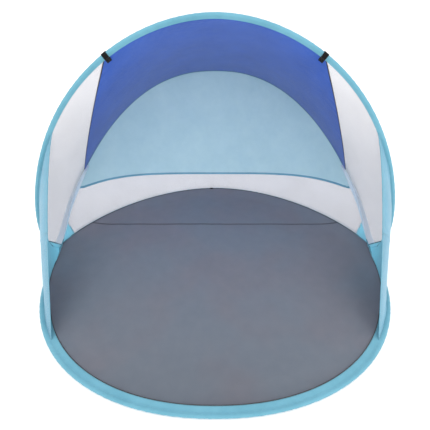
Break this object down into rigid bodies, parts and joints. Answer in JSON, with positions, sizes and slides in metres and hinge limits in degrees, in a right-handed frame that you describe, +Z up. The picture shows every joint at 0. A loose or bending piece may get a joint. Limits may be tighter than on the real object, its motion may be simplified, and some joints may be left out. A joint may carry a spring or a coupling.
{
  "type": "pop up beach shelter",
  "caption": "Open-fronted pop up beach shelter: sprung wire rings carry a dark roof, pale back, mesh windows and a groundsheet.",
  "frame": {"origin": "middle of the shelter's box, on the ground", "axes": "+X to the right, -Y the open front, +Z up"},
  "size_m": [1.9638, 1.9992, 1.3024],
  "materials": {
    "light_blue_polyester": "plain woven polyester, slight sheen",
    "pale_blue_polyester": "plain woven polyester, slight sheen",
    "dark_blue_polyester": "plain woven polyester, coated, slight sheen",
    "white_mesh": "fine knitted mesh",
    "grey_groundsheet": "coated woven polyethylene, dull",
    "black_webbing": "woven webbing, matt",
    "spring_steel": "drawn spring wire"
  },
  "bodies": {
    "rear_floor": {"rear_ground_wire": "spring_steel", "rear_ground_sleeve_left": "light_blue_polyester", "rear_ground_sleeve_right": "light_blue_polyester", "rear_ground_ferrule": "spring_steel", "groundsheet_middle": "grey_groundsheet", "groundsheet_rear": "grey_groundsheet", "peg_loop": "black_webbing", "rear_mesh": "white_mesh", "corner_patch_left": "light_blue_polyester", "corner_patch_right": "light_blue_polyester"},
    "rear_arch": {"rear_arch_wire": "spring_steel", "rear_arch_sleeve": "light_blue_polyester", "back_panel": "pale_blue_polyester"},
    "front_arch": {"front_arch_wire": "spring_steel", "front_arch_sleeve": "light_blue_polyester", "roof_panel": "dark_blue_polyester", "roof_binding_left": "black_webbing", "roof_binding_right": "black_webbing", "side_mesh_left": "white_mesh", "side_mesh_right": "white_mesh", "crossing_patch_left": "light_blue_polyester", "crossing_patch_right": "light_blue_polyester", "webbing_loop_left": "black_webbing", "webbing_loop_right": "black_webbing", "gusset_upper_left": "light_blue_polyester", "gusset_upper_right": "light_blue_polyester", "hem_upper_left": "light_blue_polyester", "hem_upper_right": "light_blue_polyester"},
    "front_floor": {"front_ground_wire": "spring_steel", "front_ground_sleeve": "light_blue_polyester", "front_ground_ferrule": "spring_steel", "groundsheet_front": "grey_groundsheet", "gusset_lower_left": "light_blue_polyester", "gusset_lower_right": "light_blue_polyester", "hem_lower_left": "light_blue_polyester", "hem_lower_right": "light_blue_polyester"}
  },
  "joints": [
    {"name": "floor_fold", "type": "hinge", "parent": "rear_floor", "child": "front_floor", "pos_m": [0, -0.0064, 0.0767], "axis": [-1, 0, 0], "range_deg": [0, 164], "stiffness_Nm_per_rad": 1.5, "springref_deg": -28.65, "deforming": ["groundsheet_front", "gusset_lower_left", "gusset_lower_right", "hem_lower_left", "hem_lower_right", "groundsheet_middle"]},
    {"name": "rear_arch_fold", "type": "hinge", "parent": "rear_floor", "child": "rear_arch", "pos_m": [0, -0.0064, 0.0767], "axis": [-1, 0, 0], "range_deg": [0, 32.2], "deforming": ["back_panel", "rear_mesh", "corner_patch_left", "corner_patch_right"]},
    {"name": "front_arch_fold", "type": "hinge", "parent": "rear_arch", "child": "front_arch", "pos_m": [0, -0.0064, 0.0767], "axis": [-1, 0, 0], "range_deg": [0, 38.8], "deforming": ["roof_panel", "roof_binding_left", "roof_binding_right", "side_mesh_left", "side_mesh_right", "crossing_patch_left", "crossing_patch_right", "gusset_upper_left", "gusset_upper_right", "hem_upper_left", "hem_upper_right"]}
  ],
  "couplings": [
    {"joint": "rear_arch_fold", "follows": "floor_fold", "ratio": 0.195},
    {"joint": "front_arch_fold", "follows": "floor_fold", "ratio": 0.235}
  ]
}
